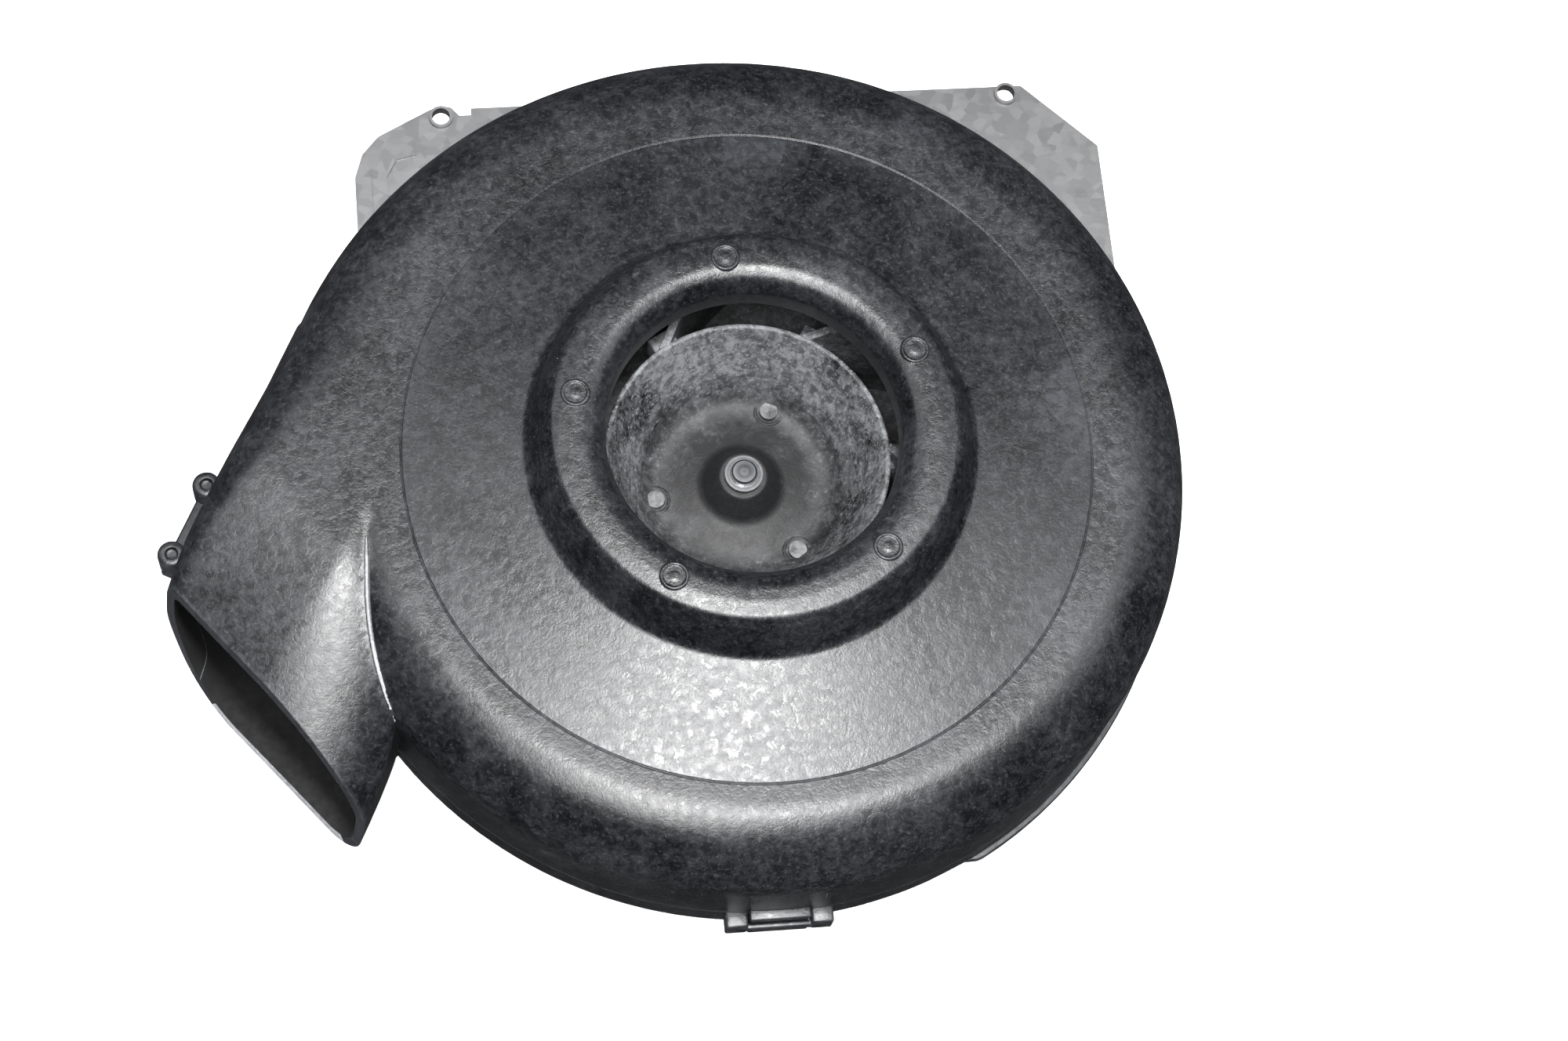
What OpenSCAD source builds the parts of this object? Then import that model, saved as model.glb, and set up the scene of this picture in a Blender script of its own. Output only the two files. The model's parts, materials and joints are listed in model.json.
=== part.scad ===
// Combustion fan: plastic scroll casing, closed plastic impeller, steel mounting plate
// and a brushless motor. The shaft is the Z axis, with the inlet at the top.
// The origin is the centre of the motor end cap's underside. Millimetres.

/* [Scroll] */
// Outside radius of the scroll wall
scroll_r = 97; // [96:0.5:98]
// Distance from the shaft to the scroll's own centre
scroll_shift = 2.4; // [2:0.2:3]
// Outside radius of the wider arc that leads into the duct
lead_r = 104.5; // [104:0.5:105]
// Radius of the rounded shoulder
shoulder_r = 16; // [14:1:18]
// Thickness of the moulded walls
wall = 2.2; // [2:0.1:2.4]
// Height of the lower casing
lower_h = 10; // [9:0.5:11]
// Height of the upper casing up to its flat top
upper_h = 32; // [31:0.5:33]

/* [Inlet] */
// Radius of the inlet throat
throat_r = 31.6; // [31:0.1:32]
// Height of the inlet ring above the flat top
ring_h = 15; // [14.5:0.5:15.5]

/* [Outlet duct] */
// Angle that the duct is turned from the -Y direction
duct_turn = -27.2; // [-30:0.2:-25]
// Distance from the shaft to the duct's inner wall
duct_inner = 45.6; // [45:0.2:47]
// Distance from the shaft to the middle of the mouth, along the duct
mouth_reach = 91.4; // [89:0.2:93]
// Skew of the mouth from square, seen from above
mouth_skew = 23.5; // [22:0.5:25]
// Lean of the mouth, with its lower lip further out
mouth_lean = 12.6; // [8:0.2:14]

/* [Impeller] */
// Outside radius of the impeller
impeller_r = 72; // [70:1:74]
// Number of blades
blades = 6; // [5:1:8]
// Depth of the dished hub
dish_depth = 20; // [18:1:20]

/* [Mounting plate] */
// Thickness of the sheet
plate_t = 1.5; // [1.2:0.1:1.6]
// Distance between the two screw holes along the top edge
plate_hole_pitch = 136.8; // [130:0.2:138]
// Distance from the shaft to the row of screw holes
plate_hole_y = 105.6; // [104:0.2:105.6]
// Radius of the screw holes
plate_hole_r = 2.1; // [1.8:0.1:2.2]

/* [Motor] */
// Outside radius of the motor housing
motor_r = 42; // [41.5:0.5:43]
// Distance from the base to the mounting plate
motor_h = 46; // [46:1:50]
// Number of stator teeth
teeth = 12; // [9:3:12]
// Radius of the shaft in its bearings
shaft_r = 4; // [4:1:4]
// Radius of the shaft in the impeller
tip_r = 3; // [3:0.1:3.1]

/* [Hidden] */

$fn = 96;
eps = 0.01;
plastic = [0.13, 0.14, 0.16];
steel = [0.72, 0.73, 0.75];
copper = [0.72, 0.38, 0.18];

// Heights, from the base up
plate_z = motor_h;
plate_top = plate_z + plate_t;
bush_h = 4.5;
floor_z = plate_top + bush_h;
part_z = floor_z + lower_h;
top_z = part_z + upper_h;
ring_top = top_z + ring_h;

// Scroll, in the duct's frame, where the flow leaves along -Y
lead_turn = 102;
lead_x = (scroll_r - lead_r) * cos(lead_turn);
lead_y = scroll_shift + (scroll_r - lead_r) * sin(lead_turn);
lead_from = lead_turn + 12;
duct_outer = lead_r - lead_x - 0.4;
duct_drop = 6;
duct_start = -8;
duct_end = 125;
duct_round = 17;
mouth_mid_z = top_z - 23;
arc_steps = 6;

// Inlet ring, as radii
cone_foot_r = 48.5;
cone_edge_r = 75;
cone_h = 4;
ring_edge_r = 43.5;
ring_lip_r = 35.5;
throat_low = 5;
throat_high = 11;
throat_wall = 1.8;
mark_r = 3;
mark_circle = 38.6;
mark_turn = 94.6;
mark_depth = 0.6;

// Seal in a step of the lower casing's wall
seal_inset = 0.6;
seal_h = 1.2;
seal_gap = 0.06;
seal_short = 13;

// Latches: posts on the lower casing, tongue on the upper one
latch_gap = 0.3;
barb_z = floor_z + 1.5;
barb_out = 1.2;
post_w = 4.8;
post_pitch = 18.6;
post_out = 3;
post_in = 1.5;
post_z = floor_z + 4;
post_short = 0.2;
web_t = 1.4;
web_z = floor_z + 5;
web_h = 2.5;
stem_x = 0.45;
stem_t = 0.9;
latch_turn = -90.4;
duct_latch_y = -52.5;
lug_out = 9.2;
lug_w = 25;
lug_t = 2.5;
lug_post_r = 3.2;
lug_post_h = 7.5;
lug_post_y = 8.9;
lug_hollow = 14.4;

// Rib on the lower casing, from one angle to the other
rib_out = 1.4;
rib_h = 2;
rib_from = -112;
rib_to = 25;

// Screw bosses between casing and plate
boss_x = 55;
boss_r = 4;
boss_top = part_z - 2;
screw_r = 1.6;
sleeve_r = 2.4;

// Impeller
back_z = part_z - 2;
back_t = 2;
dish_z = top_z - 25;
rim_z = dish_z + dish_depth;
rim_r = 31.3;
dish_r = 19.3;
hub_top = dish_z + 10;
shaft_top = dish_z + 10.5;
shroud_eye_z = top_z + 3;
shroud_rim_z = top_z - 4.5;
eye_r = 34.4;
shell_t = 1.8;
blade_t = 1.8;
blade_arc_r = 74;
blade_arc_x = 50;
blade_turn = -69;
bush_r = 4.6;
bush_top = hub_top - 3.2;
rivet_r = 2;
rivet_turn = 65.8;

// Motor
bearing_r = 11;
bearing_h = 7;
bearing_in = 6;
bearing_mid = 7.5;
bearing_out = 9.2;
ball_r = 1.95;
ball_n = 7;
groove_r = 2.1;
front_bearing_z = plate_z - 2 - bearing_h;
rear_bearing_z = 5;
stack_z = 15;
stack_h = 18;
rotor_r = 14;
magnet_r = 19;
bore_r = 19.6;
yoke_r = 34;
housing_t = 2;
stator_r = motor_r - housing_t - 0.05;
tooth_w = 4.5;
board_z = 8.2;
board_t = 1.6;
cap_t = 3;
flange_screw_r = 36.5;
socket_w = 18;
socket_h = 9;
socket_x0 = 38.5;
socket_x1 = 55;
pin_n = 5;
pin_pitch = 2.5;

// Points of the rounded corner of a profile, whose outside radius is r and top is top
function shoulder(r, top, f) =
    [for (i = [0:arc_steps]) let (a = 90 * i / arc_steps) [r - f + f * cos(a), top - f + f * sin(a)]];

function profile(r, bottom, top, f) = concat([[0, bottom], [r, bottom]], shoulder(r, top, f), [[0, top]]);

module tube(r_out, r_in, h) {
    difference() {
        cylinder(r = r_out, h = h);
        translate([0, 0, -1]) cylinder(r = r_in, h = h + 2);
    }
}

module ring_of(n, turn = 0) {
    for (i = [0:n - 1]) rotate([0, 0, turn + 360 * i / n]) children();
}

module at_bosses() {
    for (x = [-boss_x, boss_x], y = [-boss_x, boss_x]) translate([x, y, 0]) children();
}

// A turned body with a rounded shoulder, about an axis at the given x and y
module turned(x, y, r, bottom, top, f) {
    translate([x, y, 0]) rotate_extrude() polygon(profile(r, bottom, top, f));
}

// The outlet duct as a straight bar, cut off at the skewed mouth
module duct_bar(inset, bottom, reach) {
    w_out = duct_outer - inset;
    w_in = duct_inner + inset;
    half = (w_out - w_in) / 2;
    f = duct_round - inset;
    section = concat(
        [[-half, bottom - top_z - 20], [half, bottom - top_z - 20]],
        shoulder(half, -inset, f),
        [for (p = [arc_steps:-1:0]) let (a = 90 * p / arc_steps)
            [-half + f - f * cos(a), -inset - f + f * sin(a)]]);
    intersection() {
        translate([-(w_out + w_in) / 2, duct_start - inset, top_z - 0.2])
            rotate([90 + duct_drop, 0, 0]) linear_extrude(duct_end) polygon(section);
        translate([-duct_outer - 10, -duct_end - 20, bottom]) cube([duct_outer, duct_end + 60, 80]);
        translate([-(w_out + w_in) / 2, -reach, mouth_mid_z]) rotate([0, 0, -mouth_skew])
            rotate([-mouth_lean, 0, 0]) translate([-100, 0, -100]) cube([200, 200, 200]);
    }
}

// The air space's outer form: scroll, lead-in arc and duct
module scroll_form(inset, bottom, reach) {
    top = top_z - inset;
    f = shoulder_r - inset;
    rotate([0, 0, duct_turn]) union() {
        turned(0, scroll_shift, scroll_r - inset, bottom, top, f);
        intersection() {
            turned(lead_x, lead_y, lead_r - inset, bottom, top - 0.15, f);
            translate([0, scroll_shift, bottom - 1]) rotate([0, 0, lead_from]) cube([lead_r + 10, lead_r + 10, 80]);
        }
        duct_bar(inset, bottom, reach);
    }
}

// Everything above or below the parting plane
module slab(z0, z1) {
    translate([-150, -150, z0]) cube([300, 300, z1 - z0]);
}

module inlet_ring_solid() {
    h = ring_top;
    rotate_extrude() polygon([
        [cone_edge_r + 1.5, top_z - 0.23], [cone_edge_r + 1.5, top_z - wall], [cone_foot_r - 1, top_z + cone_h - wall],
        [ring_edge_r - 1.5, h - wall - 1], [ring_lip_r, h - wall - 0.6], [throat_r + throat_wall, top_z + throat_high - 2],
        [throat_r + throat_wall, top_z + throat_low], [throat_r, top_z + throat_low],
        [throat_r, top_z + throat_high], [throat_r + 0.8, h - 1.7], [throat_r + 2.2, h - 0.5], [ring_lip_r, h],
        [ring_edge_r - 1, h], [ring_edge_r + 0.6, h - 0.8], [ring_edge_r + 1.4, h - 2.4],
        [cone_foot_r - 1.2, top_z + cone_h + 1.5], [cone_foot_r, top_z + cone_h]]);
}

// The tongue hangs from the upper wall, passes behind the web and hooks under it with a barb
module latch_tongue() {
    tongue_w = post_pitch - post_w - 2 * latch_gap;
    root = [3.2, tongue_w, 2];
    translate([0, -tongue_w / 2, 0]) {
        translate([-1, 0, part_z]) cube(root);
        translate([stem_x, 0, barb_z]) cube([stem_t, tongue_w, part_z - barb_z + eps]);
        translate([stem_x, 0, barb_z]) cube([stem_t + barb_out, tongue_w, web_z - latch_gap - barb_z]);
    }
}

// Each post reaches into the wall as far up as the seal's groove allows
module latch_posts() {
    post_top = part_z - post_short;
    for (s = [-1, 1]) translate([0, s * post_pitch / 2 - post_w / 2, post_z]) {
        translate([-post_in, 0, 0]) cube([post_out + post_in, post_w, post_top - seal_h - post_z]);
        translate([-latch_gap, 0, 0]) cube([post_out + latch_gap, post_w, post_top - post_z]);
    }
    translate([post_out - web_t, -post_pitch / 2, web_z]) cube([web_t, post_pitch, web_h]);
}

// A flat lug beside the outer wall of the duct, with a round post at each end and a hollow for the barb
module duct_lug() {
    rotate([0, 0, duct_turn]) translate([-duct_outer, duct_latch_y, floor_z]) {
        difference() {
            translate([-lug_out, -lug_w / 2, 0]) cube([lug_out + 1, lug_w, lug_t]);
            translate([-post_out - 0.2, -lug_hollow / 2, 1]) cube([post_out + 0.4, lug_hollow, lug_t]);
        }
        for (s = [-1, 1]) translate([lug_post_r / 2 - lug_out, s * lug_post_y, 0])
            cylinder(r = lug_post_r, h = lug_post_h);
    }
}

module at_scroll_latch() {
    rotate([0, 0, duct_turn]) translate([0, scroll_shift, 0]) rotate([0, 0, latch_turn - duct_turn])
        translate([scroll_r - 0.2, 0, 0]) children();
}

module at_duct_latch() {
    rotate([0, 0, duct_turn]) translate([-duct_outer + 0.2, duct_latch_y, 0]) rotate([0, 0, 180]) children();
}

module upper_casing() {
    color(plastic) union() {
        difference() {
            intersection() {
                scroll_form(0, part_z - 1, mouth_reach);
                slab(part_z, top_z + 1);
            }
            scroll_form(wall, part_z - 1.5, mouth_reach + 20);
            translate([0, 0, part_z]) cylinder(r = cone_edge_r - 3, h = 60);
        }
        difference() {
            inlet_ring_solid();
            ring_of(5, mark_turn) translate([mark_circle, 0, ring_top - mark_depth]) cylinder(r = mark_r, h = 2);
        }
        at_scroll_latch() latch_tongue();
        at_duct_latch() latch_tongue();
    }
}

// A quarter of the space, counter-clockwise from an angle
module quarter(turn) {
    rotate([0, 0, turn]) translate([0, 0, -1]) cube([scroll_r * 2, scroll_r * 2, lower_h]);
}

// A narrow rib round part of the lower casing
module edge_strip() {
    rotate([0, 0, duct_turn]) translate([0, scroll_shift, floor_z + rib_h]) intersection() {
        tube(scroll_r + rib_out, scroll_r - 1, rib_h);
        quarter(rib_to - 90 - duct_turn);
        quarter(rib_from - duct_turn);
    }
}

module lower_casing() {
    seat_r = 12;
    color(plastic) difference() {
        union() {
            difference() {
                intersection() {
                    scroll_form(0, floor_z, mouth_reach);
                    slab(floor_z, part_z);
                }
                scroll_form(wall, floor_z + wall, mouth_reach + 20);
                scroll_form(seal_inset, part_z - seal_h, mouth_reach - seal_short);
            }
            at_bosses() translate([0, 0, floor_z]) cylinder(r = boss_r, h = boss_top - floor_z);
            translate([0, 0, floor_z]) cylinder(r = seat_r, h = 4);
            at_scroll_latch() latch_posts();
            at_duct_latch() latch_posts();
            duct_lug();
            edge_strip();
        }
        at_bosses() translate([0, 0, floor_z - 1]) cylinder(r = screw_r, h = boss_top - floor_z - 1);
        translate([0, 0, floor_z - 1]) cylinder(r = 6, h = 10);
        translate([0, 0, floor_z + 1]) cylinder(r = 9, h = 10);
    }
}

module casing_seal() {
    color([0.25, 0.25, 0.26]) difference() {
        intersection() {
            scroll_form(seal_inset + seal_gap, part_z - seal_h, mouth_reach - seal_short - 0.3);
            slab(part_z - seal_h + seal_gap, part_z - seal_gap);
        }
        scroll_form(wall, part_z - 5, mouth_reach + 20);
    }
}

module shaft_seal() {
    color([0.2, 0.2, 0.2]) translate([0, 0, floor_z + 1]) difference() {
        cylinder(r = 9, h = 3);
        translate([0, 0, -1]) cylinder(r = 4.3, h = 5);
    }
}

// One backward-curved blade, as a slice of a thin tube beside the shaft
module blade() {
    h = rim_z + 12 - back_z;
    translate([0, 0, back_z + back_t]) intersection() {
        tube(impeller_r - 0.5, rim_r - 0.8, h);
        translate([blade_arc_x, 0, 0]) tube(blade_arc_r + blade_t / 2, blade_arc_r - blade_t / 2, h);
        translate([-impeller_r, 0, 0]) cube([impeller_r * 2, impeller_r, h]);
    }
}

// Turned shape of the front: below the shroud and outside the dish
module blade_space() {
    rotate_extrude() polygon([
        [dish_r + 1, back_z + back_t], [impeller_r, back_z + back_t], [impeller_r, shroud_rim_z - 0.5],
        [eye_r + 4, shroud_eye_z - 5], [eye_r + 1, shroud_eye_z - 3], [eye_r + 0.5, shroud_eye_z - 3.2],
        [rim_r - 0.5, rim_z - 1], [dish_r + 1, dish_z - 1]]);
}

module impeller_front() {
    color(plastic) difference() {
        union() {
            rotate_extrude() polygon([
                [bush_r, back_z + back_t], [bush_r + 2, back_z + back_t], [bush_r + 2, dish_z],
                [dish_r, dish_z - shell_t], [dish_r + 2.5, dish_z - shell_t + 0.8],
                [rim_r, rim_z - 1.2], [rim_r, rim_z], [rim_r - 1.2, rim_z], [dish_r + 2, dish_z + 1.2],
                [dish_r, dish_z], [bush_r + 3, dish_z + 3.6], [bush_r + 0.4, hub_top - 2.2],
                [tip_r + 0.08, hub_top - 2.2], [tip_r + 0.08, bush_top + 0.06], [bush_r, bush_top + 0.06]]);
            rotate_extrude() polygon([
                [impeller_r, shroud_rim_z - 1], [impeller_r, shroud_rim_z + 0.8],
                [eye_r + 5, shroud_eye_z - 2.5], [eye_r + shell_t, shroud_eye_z + 1],
                [eye_r + shell_t, shroud_eye_z + 3], [eye_r, shroud_eye_z + 3], [eye_r, shroud_eye_z],
                [eye_r + 1, shroud_eye_z - 3.4], [eye_r + 4, shroud_eye_z - 5.4]]);
            intersection() {
                blade_space();
                ring_of(blades, blade_turn) blade();
            }
            ring_of(3, rivet_turn) translate([dish_r, 0, back_z + back_t])
                cylinder(r = rivet_r + 1.3, h = dish_z - back_z - back_t + 0.4);
        }
        ring_of(3, rivet_turn) translate([dish_r, 0, back_z]) cylinder(r = rivet_r, h = 30);
    }
}

module impeller_back_plate() {
    color(plastic) translate([0, 0, back_z]) difference() {
        cylinder(r = impeller_r, h = back_t);
        translate([0, 0, -1]) cylinder(r = bush_r, h = 5);
        ring_of(3, rivet_turn) translate([dish_r, 0, -1]) cylinder(r = rivet_r, h = 5);
    }
}

module impeller_rivets() {
    color(steel) ring_of(3, rivet_turn) translate([dish_r, 0, back_z - 0.8]) union() {
        cylinder(r = rivet_r + 1, h = 0.8);
        cylinder(r = rivet_r, h = dish_z - back_z + 2);
    }
}

module hub_bush() {
    color([0.75, 0.62, 0.3]) translate([0, 0, back_z - 1]) tube(bush_r, tip_r, bush_top - back_z + 1);
}

module retaining_ring() {
    color(steel) translate([0, 0, hub_top - 2]) tube(4.25, tip_r, 1.2);
}

module motor_shaft() {
    color(steel) union() {
        translate([0, 0, cap_t + 0.8]) cylinder(r = shaft_r, h = back_z - 1 - cap_t - 0.8);
        translate([0, 0, back_z - 2]) cylinder(r = tip_r, h = shaft_top - back_z + 1.6);
        translate([0, 0, shaft_top - 0.5]) cylinder(r1 = tip_r, r2 = tip_r - 0.5, h = 0.5);
    }
}

module plate_outline() {
    polygon([
        [-81.5, -15], [-81.5, 91], [-79.5, 97], [-75.5, 101.5], [-63, 108], [-60.4, 109], [-57.8, 108.4],
        [-56, 106.2], [-53.2, 106.2], [-53.2, 108], [80.5, 108], [97.5, 91], [97.5, 0], [64, -62],
        [-58, -62]]);
}

module mounting_plate() {
    hole_x0 = -60.4;
    bead_t = 0.7;
    color(steel) difference() {
        union() {
            translate([0, 0, plate_z]) linear_extrude(plate_t) plate_outline();
            translate([0, 0, plate_top - eps]) linear_extrude(bead_t)
                polygon([[-77.5, 70], [-77.5, 92], [-72.5, 98.5], [-67.5, 99.5], [-67, 96], [-71.5, 95],
                    [-74, 90.5], [-74, 70]]);
            for (x = [hole_x0, hole_x0 + plate_hole_pitch]) translate([x, plate_hole_y, plate_z])
                cylinder(r = plate_hole_r + 0.7, h = plate_t + 1.2);
        }
        for (x = [hole_x0, hole_x0 + plate_hole_pitch]) translate([x, plate_hole_y, plate_z - 1])
            cylinder(r = plate_hole_r, h = 6);
        translate([0, 0, plate_z - 1]) cylinder(r = 9, h = 4);
        at_bosses() translate([0, 0, plate_z - 1]) cylinder(r = sleeve_r, h = 4);
        ring_of(3, 90) translate([flange_screw_r, 0, plate_z - 1]) cylinder(r = 1.7, h = 4);
    }
}

module rubber_bushes() {
    color([0.12, 0.12, 0.12]) at_bosses() translate([0, 0, plate_top]) tube(5.5, sleeve_r, bush_h);
}

module bush_sleeves() {
    color(steel) at_bosses() translate([0, 0, plate_z]) tube(sleeve_r, screw_r, plate_t + bush_h);
}

module casing_screws() {
    color(steel) at_bosses() union() {
        translate([0, 0, plate_z - 2.2]) difference() {
            cylinder(r = 4, h = 2.2);
            translate([0, 0, -1]) cylinder(r = 1.6, h = 2.2, $fn = 6);
        }
        translate([0, 0, plate_z - eps]) cylinder(r = screw_r, h = boss_top - plate_z - 2.2);
    }
}

module motor_housing() {
    color([0.55, 0.56, 0.58]) difference() {
        union() {
            difference() {
                translate([0, 0, cap_t]) cylinder(r = motor_r, h = plate_z - cap_t);
                translate([0, 0, cap_t - 1]) cylinder(r = motor_r - housing_t, h = plate_z - cap_t - 1);
            }
            translate([0, 0, front_bearing_z]) cylinder(r = bearing_r + 3, h = bearing_h + 1);
            ring_of(3, 90) translate([flange_screw_r, 0, plate_z - 7]) cylinder(r = 3.4, h = 7);
            ring_of(3, 30) translate([motor_r - 2.5, 0, cap_t]) cylinder(r = 2.6, h = 9);
        }
        translate([0, 0, front_bearing_z - 1]) cylinder(r = bearing_r, h = bearing_h + 1);
        cylinder(r = 6, h = 100);
        ring_of(3, 90) translate([flange_screw_r, 0, plate_z - 6]) cylinder(r = 1.4, h = 10);
        ring_of(3, 30) translate([motor_r - 2.5, 0, cap_t - 1]) cylinder(r = 1.1, h = 8);
        translate([motor_r - 8, -socket_w / 2 - 0.1, cap_t - 1]) cube([12, socket_w + 0.2, socket_h + 3.6]);
    }
}

module motor_end_cap() {
    color([0.5, 0.51, 0.53]) difference() {
        union() {
            cylinder(r = motor_r, h = cap_t);
            translate([0, 0, cap_t - eps]) cylinder(r = bearing_r + 3, h = rear_bearing_z + bearing_h - cap_t);
            ring_of(3, 60) translate([27, 0, cap_t - eps]) cylinder(r = 3, h = board_z - cap_t);
        }
        translate([0, 0, cap_t + 1]) cylinder(r = bearing_r, h = 20);
        translate([0, 0, cap_t - 0.8]) cylinder(r = 8, h = 20);
        ring_of(3, 30) translate([motor_r - 2.5, 0, -1]) cylinder(r = 1.3, h = 10);
        ring_of(3, 30) translate([motor_r - 2.5, 0, -1]) cylinder(r = 2.4, h = 2.4);
    }
}

module motor_screws() {
    color(steel) ring_of(3, 90) translate([flange_screw_r, 0, 0]) union() {
        translate([0, 0, plate_top]) difference() {
            cylinder(r = 3, h = 2.2);
            translate([0, 0, 1.2]) cylinder(r = 1.4, h = 2, $fn = 6);
        }
        translate([0, 0, plate_z - 5]) cylinder(r = 1.4, h = 5 + plate_t + eps);
    }
}

module end_cap_screws() {
    color(steel) ring_of(3, 30) translate([motor_r - 2.5, 0, 0]) union() {
        translate([0, 0, 0.2]) difference() {
            cylinder(r = 2.1, h = 1.2);
            translate([0, 0, -1]) cylinder(r = 1, h = 1.6, $fn = 6);
        }
        translate([0, 0, 1.3]) cylinder(r = 1.1, h = 7);
    }
}

module stator_tooth() {
    translate([bore_r + 1, -tooth_w / 2, 0]) cube([yoke_r - bore_r, tooth_w, stack_h]);
    intersection() {
        tube(bore_r + 2.2, bore_r, stack_h);
        translate([bore_r - 2, -4, -1]) cube([6, 8, stack_h + 2]);
    }
}

module stator_core() {
    color([0.45, 0.46, 0.5]) translate([0, 0, stack_z]) union() {
        tube(stator_r, yoke_r, stack_h);
        ring_of(teeth) stator_tooth();
    }
}

module insulator(z) {
    color([0.9, 0.88, 0.8]) translate([0, 0, z]) union() {
        tube(yoke_r + 2, yoke_r - 0.5, 1.2);
        tube(bore_r + 2.2, bore_r + 0.6, 1.2);
        ring_of(teeth) translate([bore_r + 1, -tooth_w / 2, 0]) cube([yoke_r - bore_r - 1, tooth_w, 1.2]);
    }
}

module upper_insulator() {
    insulator(stack_z + stack_h);
}

module lower_insulator() {
    insulator(stack_z - 1.2);
}

module windings() {
    inner_w = tooth_w + 0.8;
    outer_w = inner_w + 4;
    length = yoke_r - bore_r - 4;
    color(copper) ring_of(teeth) translate([bore_r + 2.9, 0, stack_z]) difference() {
        translate([0, -outer_w / 2, -3.4]) cube([length, outer_w, stack_h + 6.8]);
        translate([-1, -inner_w / 2, -1.4]) cube([length + 2, inner_w, stack_h + 2.8]);
    }
}

module rotor_core() {
    color([0.5, 0.5, 0.52]) translate([0, 0, stack_z]) difference() {
        cylinder(r = rotor_r, h = stack_h);
        translate([0, 0, -1]) cylinder(r = shaft_r, h = stack_h + 2);
        ring_of(4, 45) translate([9, 0, -1]) cylinder(r = 2, h = stack_h + 2);
    }
}

module rotor_magnet() {
    color([0.2, 0.2, 0.22]) translate([0, 0, stack_z]) tube(magnet_r, rotor_r, stack_h);
}

module race(r_out, r_in, z) {
    color(steel) translate([0, 0, z]) difference() {
        tube(r_out, r_in, bearing_h);
        translate([0, 0, bearing_h / 2]) rotate_extrude() translate([bearing_mid, 0]) circle(r = groove_r);
    }
}

module balls(z) {
    color(steel) translate([0, 0, z + bearing_h / 2]) ring_of(ball_n) translate([bearing_mid, 0, 0])
        sphere(r = ball_r);
}

// A flat ring beside the balls with fingers that stand between them
module cage(z) {
    color([0.8, 0.65, 0.35]) translate([0, 0, z + 0.5]) union() {
        tube(bearing_mid + 1.1, bearing_mid - 1.1, 0.9);
        ring_of(ball_n, 180 / ball_n) translate([bearing_mid - 0.9, -0.6, 0]) cube([1.8, 1.2, 4.5]);
    }
}

module clip(z) {
    color(steel) translate([0, 0, z]) tube(shaft_r + 1.6, shaft_r, 0.8);
}

module wave_washer() {
    color(steel) translate([0, 0, cap_t + 1]) tube(bearing_r - 0.4, bearing_r - 2.4, rear_bearing_z - cap_t - 1);
}

module circuit_board() {
    color([0.1, 0.4, 0.2]) translate([0, 0, board_z]) difference() {
        cylinder(r = 35, h = board_t);
        translate([0, 0, -1]) cylinder(r = bearing_r + 4.2, h = 4);
        pin_row(0.4, -board_z - 8) cube([0.8, 0.8, 20]);
    }
}

module position_sensors() {
    color([0.1, 0.1, 0.1]) for (a = [150, 180, 210]) rotate([0, 0, a])
        translate([17.5, -1.5, board_z + board_t]) cube([3, 3, 1.2]);
}

module driver_chip() {
    color([0.1, 0.1, 0.1]) translate([-18, -29, board_z - 1.8]) cube([12, 7, 1.8]);
}

module capacitor() {
    color([0.15, 0.2, 0.4]) translate([6, 26, board_z - 4]) cylinder(r = 4, h = 4);
}

module connector_socket() {
    color([0.92, 0.9, 0.85]) translate([0, 0, cap_t]) difference() {
        translate([socket_x0, -socket_w / 2, 0]) cube([socket_x1 - socket_x0, socket_w, socket_h]);
        translate([socket_x0 + 4, -socket_w / 2 + 1.4, 1.4])
            cube([20, socket_w - 2.8, socket_h - 2.8]);
        pin_row(0.32, -cap_t) cube([30, 0.64, 0.64]);
    }
}

// Places the children at each pin, at height z below the pins' own height
module pin_row(half, z) {
    for (i = [0:pin_n - 1])
        translate([31, (i - (pin_n - 1) / 2) * pin_pitch - half, cap_t + socket_h / 2 - half + z]) children();
}

module connector_pins() {
    color([0.85, 0.75, 0.45]) pin_row(0.32, 0) union() {
        cube([17, 0.64, 0.64]);
        cube([0.64, 0.64, board_z - cap_t - socket_h / 2 + 0.32 + board_t + 1]);
    }
}

upper_casing();
lower_casing();
casing_seal();
shaft_seal();
impeller_front();
impeller_back_plate();
impeller_rivets();
hub_bush();
retaining_ring();
motor_shaft();
mounting_plate();
rubber_bushes();
bush_sleeves();
casing_screws();
motor_housing();
motor_end_cap();
motor_screws();
end_cap_screws();
stator_core();
upper_insulator();
lower_insulator();
windings();
rotor_core();
rotor_magnet();
race(bearing_r, bearing_out - 0.2, front_bearing_z);  // front_outer_ring
race(bearing_in, shaft_r, front_bearing_z);  // front_inner_ring
balls(front_bearing_z);  // front_balls
cage(front_bearing_z);  // front_cage
clip(front_bearing_z - 0.8);  // front_clip
race(bearing_r, bearing_out - 0.2, rear_bearing_z);  // rear_outer_ring
race(bearing_in, shaft_r, rear_bearing_z);  // rear_inner_ring
balls(rear_bearing_z);  // rear_balls
cage(rear_bearing_z);  // rear_cage
clip(rear_bearing_z + bearing_h);  // rear_clip
wave_washer();
circuit_board();
position_sensors();
driver_chip();
capacitor();
connector_socket();
connector_pins();
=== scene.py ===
"""Looks of the combustion fan: detailed shells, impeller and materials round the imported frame."""

import json
import math

import bmesh
import bpy
import numpy as np
from mathutils import Matrix, Vector


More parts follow.
